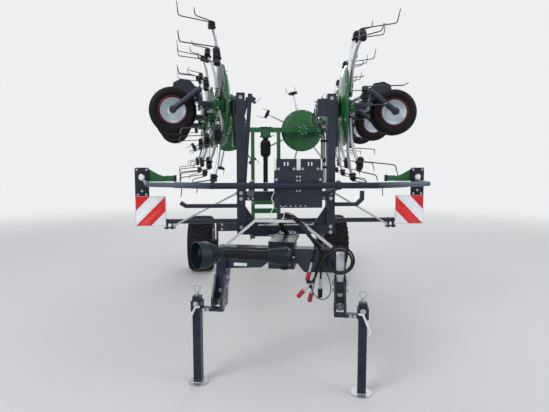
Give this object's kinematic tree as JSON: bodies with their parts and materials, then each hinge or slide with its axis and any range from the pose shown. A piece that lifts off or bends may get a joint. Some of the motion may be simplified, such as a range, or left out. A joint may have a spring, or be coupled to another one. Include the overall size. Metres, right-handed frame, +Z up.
{
  "type": "trailed hay tedder",
  "caption": "Trailed hay tedder in its folded road position: tined rotors on folding beams, a two-wheel chassis, a steered hitch yoke, stands and warning boards.",
  "frame": {"origin": "on the ground below the middle of the machine's box, on its centre line", "axes": "+Z up, the hitch towards -Y, +X to the right when seen from the hitch end"},
  "size_m": [3.1484, 5.4032, 3.0937],
  "materials": {
    "green_paint": "satin machine enamel",
    "slate_paint": "satin machine enamel",
    "galvanised": "galvanised, dull",
    "tyre": "matt",
    "guard_plastic": "matt moulded",
    "hose_rubber": "matt",
    "board": "retroreflecting sheet with red and white stripes"
  },
  "bodies": {
    "chassis": {"drawbar": "slate_paint", "axle_beam": "slate_paint", "lift_brackets": "slate_paint", "mast_frame": "slate_paint", "lower_bar": "slate_paint", "guard_bow": "slate_paint", "cover_panel": "slate_paint", "board_left": "board", "board_right": "board"},
    "yoke": {"hitch_yoke": "slate_paint", "shaft_hoop": "galvanised", "drive_shaft": "guard_plastic", "hoses": "hose_rubber"},
    "stand_leg_left": {"stand_left": "slate_paint"},
    "stand_leg_right": {"stand_right": "slate_paint"},
    "folding_frame": {"centre_frame": "green_paint", "centre_cardan": "guard_plastic", "centre_legs": "slate_paint"},
    "wing_left": {"wing_beam_left": "green_paint", "wing_legs_left": "slate_paint"},
    "wing_right": {"wing_beam_right": "green_paint", "wing_legs_right": "slate_paint"},
    "rotor_1": {"dish_1": "green_paint", "tines_1": "galvanised"},
    "running_wheel_1": {"rotor_wheel_1": "tyre"},
    "rotor_2": {"dish_2": "green_paint", "tines_2": "galvanised"},
    "running_wheel_2": {"rotor_wheel_2": "tyre"},
    "rotor_3": {"dish_3": "green_paint", "tines_3": "galvanised"},
    "running_wheel_3": {"rotor_wheel_3": "tyre"},
    "rotor_4": {"dish_4": "green_paint", "tines_4": "galvanised"},
    "running_wheel_4": {"rotor_wheel_4": "tyre"},
    "rotor_5": {"dish_5": "green_paint", "tines_5": "galvanised"},
    "running_wheel_5": {"rotor_wheel_5": "tyre"},
    "rotor_6": {"dish_6": "green_paint", "tines_6": "galvanised"},
    "running_wheel_6": {"rotor_wheel_6": "tyre"},
    "rotor_7": {"dish_7": "green_paint", "tines_7": "galvanised"},
    "running_wheel_7": {"rotor_wheel_7": "tyre"},
    "rotor_8": {"dish_8": "green_paint", "tines_8": "galvanised"},
    "running_wheel_8": {"rotor_wheel_8": "tyre"},
    "transport_wheel_left": {"transport_tyre_left": "tyre", "transport_rim_left": "galvanised"},
    "transport_wheel_right": {"transport_tyre_right": "tyre", "transport_rim_right": "galvanised"}
  },
  "joints": [
    {"name": "steer", "type": "hinge", "parent": "chassis", "child": "yoke", "pos_m": [0, -1.91481, 0.95], "axis": [0, 0, 1], "range_deg": [-40, 60]},
    {"name": "stand_left_slide", "type": "slide", "parent": "yoke", "child": "stand_leg_left", "axis": [0, 0, 1], "range_m": [0, 0.35]},
    {"name": "stand_right_slide", "type": "slide", "parent": "yoke", "child": "stand_leg_right", "axis": [0, 0, 1], "range_m": [0, 0.35]},
    {"name": "lift", "type": "hinge", "parent": "chassis", "child": "folding_frame", "pos_m": [0, 1.83, 0.455], "axis": [-1, 0, 0], "range_deg": [0, 78]},
    {"name": "wing_left_fold", "type": "hinge", "parent": "folding_frame", "child": "wing_left", "pos_m": [-0.95, 1.91002, 2.24853], "axis": [0, 0.0209, -0.9998], "range_deg": [0, 99]},
    {"name": "wing_right_fold", "type": "hinge", "parent": "folding_frame", "child": "wing_right", "pos_m": [0.95, 1.91002, 2.24853], "axis": [0, -0.0209, 0.9998], "range_deg": [0, 99]},
    {"name": "rotor_1_spin", "type": "hinge", "parent": "wing_left", "child": "rotor_1", "pos_m": [-0.50005, -1.57349, 2.17557], "axis": [0.989, 0.1478, 0.0031], "continuous": true},
    {"name": "rotor_2_spin", "type": "hinge", "parent": "wing_left", "child": "rotor_2", "pos_m": [-0.68851, -0.31277, 2.20197], "axis": [0.989, 0.1478, 0.0031], "continuous": true},
    {"name": "rotor_3_spin", "type": "hinge", "parent": "wing_left", "child": "rotor_3", "pos_m": [-0.87696, 0.94795, 2.22838], "axis": [0.989, 0.1478, 0.0031], "continuous": true},
    {"name": "rotor_4_spin", "type": "hinge", "parent": "folding_frame", "child": "rotor_4", "pos_m": [-0.6375, 1.98, 2.25], "axis": [0, -0.9998, -0.0209], "continuous": true},
    {"name": "rotor_5_spin", "type": "hinge", "parent": "folding_frame", "child": "rotor_5", "pos_m": [0.6375, 1.98, 2.25], "axis": [0, -0.9998, -0.0209], "continuous": true},
    {"name": "rotor_6_spin", "type": "hinge", "parent": "wing_right", "child": "rotor_6", "pos_m": [0.87696, 0.94795, 2.22838], "axis": [-0.989, 0.1478, 0.0031], "continuous": true},
    {"name": "rotor_7_spin", "type": "hinge", "parent": "wing_right", "child": "rotor_7", "pos_m": [0.68851, -0.31277, 2.20197], "axis": [-0.989, 0.1478, 0.0031], "continuous": true},
    {"name": "rotor_8_spin", "type": "hinge", "parent": "wing_right", "child": "rotor_8", "pos_m": [0.50005, -1.57349, 2.17557], "axis": [-0.989, 0.1478, 0.0031], "continuous": true},
    {"name": "rotor_wheel_1_spin", "type": "hinge", "parent": "wing_left", "child": "running_wheel_1", "pos_m": [-0.98961, -1.64538, 2.11405], "axis": [0.1478, -0.9888, -0.0207], "continuous": true},
    {"name": "rotor_wheel_2_spin", "type": "hinge", "parent": "wing_left", "child": "running_wheel_2", "pos_m": [-1.17807, -0.38466, 2.14045], "axis": [0.1478, -0.9888, -0.0207], "continuous": true},
    {"name": "rotor_wheel_3_spin", "type": "hinge", "parent": "wing_left", "child": "running_wheel_3", "pos_m": [-1.36653, 0.87606, 2.16686], "axis": [0.1478, -0.9888, -0.0207], "continuous": true},
    {"name": "rotor_wheel_4_spin", "type": "hinge", "parent": "folding_frame", "child": "running_wheel_4", "pos_m": [-0.6375, 2.47615, 2.20038], "axis": [-1, 0, 0], "continuous": true},
    {"name": "rotor_wheel_5_spin", "type": "hinge", "parent": "folding_frame", "child": "running_wheel_5", "pos_m": [0.6375, 2.47615, 2.20038], "axis": [1, 0, 0], "continuous": true},
    {"name": "rotor_wheel_6_spin", "type": "hinge", "parent": "wing_right", "child": "running_wheel_6", "pos_m": [1.36653, 0.87606, 2.16686], "axis": [-0.1478, -0.9888, -0.0207], "continuous": true},
    {"name": "rotor_wheel_7_spin", "type": "hinge", "parent": "wing_right", "child": "running_wheel_7", "pos_m": [1.17807, -0.38466, 2.14045], "axis": [-0.1478, -0.9888, -0.0207], "continuous": true},
    {"name": "rotor_wheel_8_spin", "type": "hinge", "parent": "wing_right", "child": "running_wheel_8", "pos_m": [0.98961, -1.64538, 2.11405], "axis": [-0.1478, -0.9888, -0.0207], "continuous": true},
    {"name": "transport_wheel_left_spin", "type": "hinge", "parent": "chassis", "child": "transport_wheel_left", "pos_m": [-1.04, 1.28, 0.4285], "axis": [1, 0, 0], "continuous": true},
    {"name": "transport_wheel_right_spin", "type": "hinge", "parent": "chassis", "child": "transport_wheel_right", "pos_m": [1.04, 1.28, 0.4285], "axis": [1, 0, 0], "continuous": true}
  ],
  "couplings": [
    {"joint": "wing_left_fold", "follows": "lift", "ratio": 1.2628},
    {"joint": "wing_right_fold", "follows": "lift", "ratio": 1.2628},
    {"joint": "rotor_1_spin", "follows": "rotor_4_spin", "ratio": -1},
    {"joint": "rotor_2_spin", "follows": "rotor_4_spin", "ratio": 1},
    {"joint": "rotor_3_spin", "follows": "rotor_4_spin", "ratio": -1},
    {"joint": "rotor_5_spin", "follows": "rotor_4_spin", "ratio": -1},
    {"joint": "rotor_6_spin", "follows": "rotor_4_spin", "ratio": 1},
    {"joint": "rotor_7_spin", "follows": "rotor_4_spin", "ratio": -1},
    {"joint": "rotor_8_spin", "follows": "rotor_4_spin", "ratio": 1}
  ]
}
